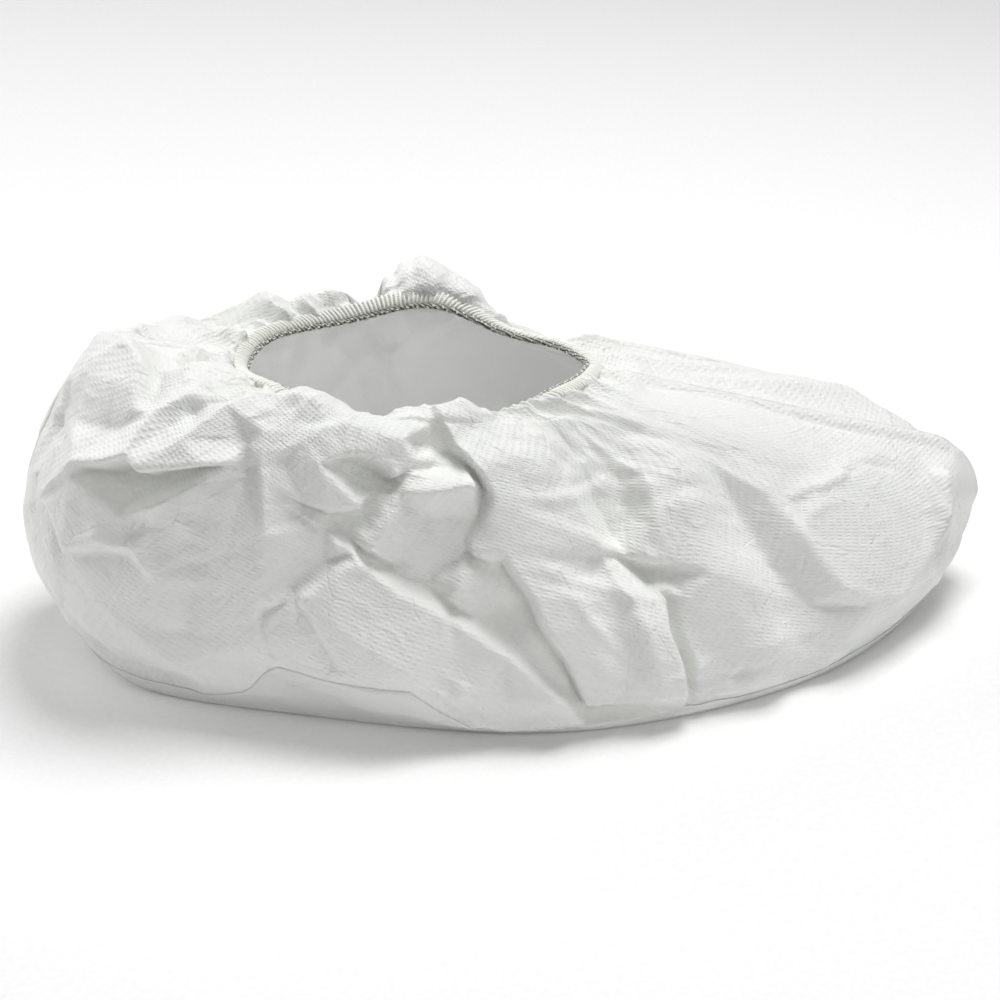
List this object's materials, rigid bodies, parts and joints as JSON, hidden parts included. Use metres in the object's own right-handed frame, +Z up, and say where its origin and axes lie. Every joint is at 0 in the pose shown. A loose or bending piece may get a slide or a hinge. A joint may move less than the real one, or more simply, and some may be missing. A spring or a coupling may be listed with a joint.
{
  "type": "overshoe",
  "caption": "Roomy white film-laminate overshoe with a gathered elastic opening and a flat anti-slip sole, shaped as if worn over a low shoe.",
  "frame": {"origin": "on the flat underside of the sole, about half way between heel and toe", "axes": "+X towards the toe, +Y to the wearer's left side, +Z up; the right side panel is at -Y"},
  "size_m": [0.3457, 0.1618, 0.1213],
  "materials": {
    "side_laminate": "satin",
    "sole_laminate": "matt, slightly tacky",
    "elastic": "matt"
  },
  "bodies": {
    "root": {"side_panel_right": "side_laminate", "side_panel_left": "side_laminate", "sole_panel": "sole_laminate", "elastic_hem": "elastic"}
  },
  "joints": []
}
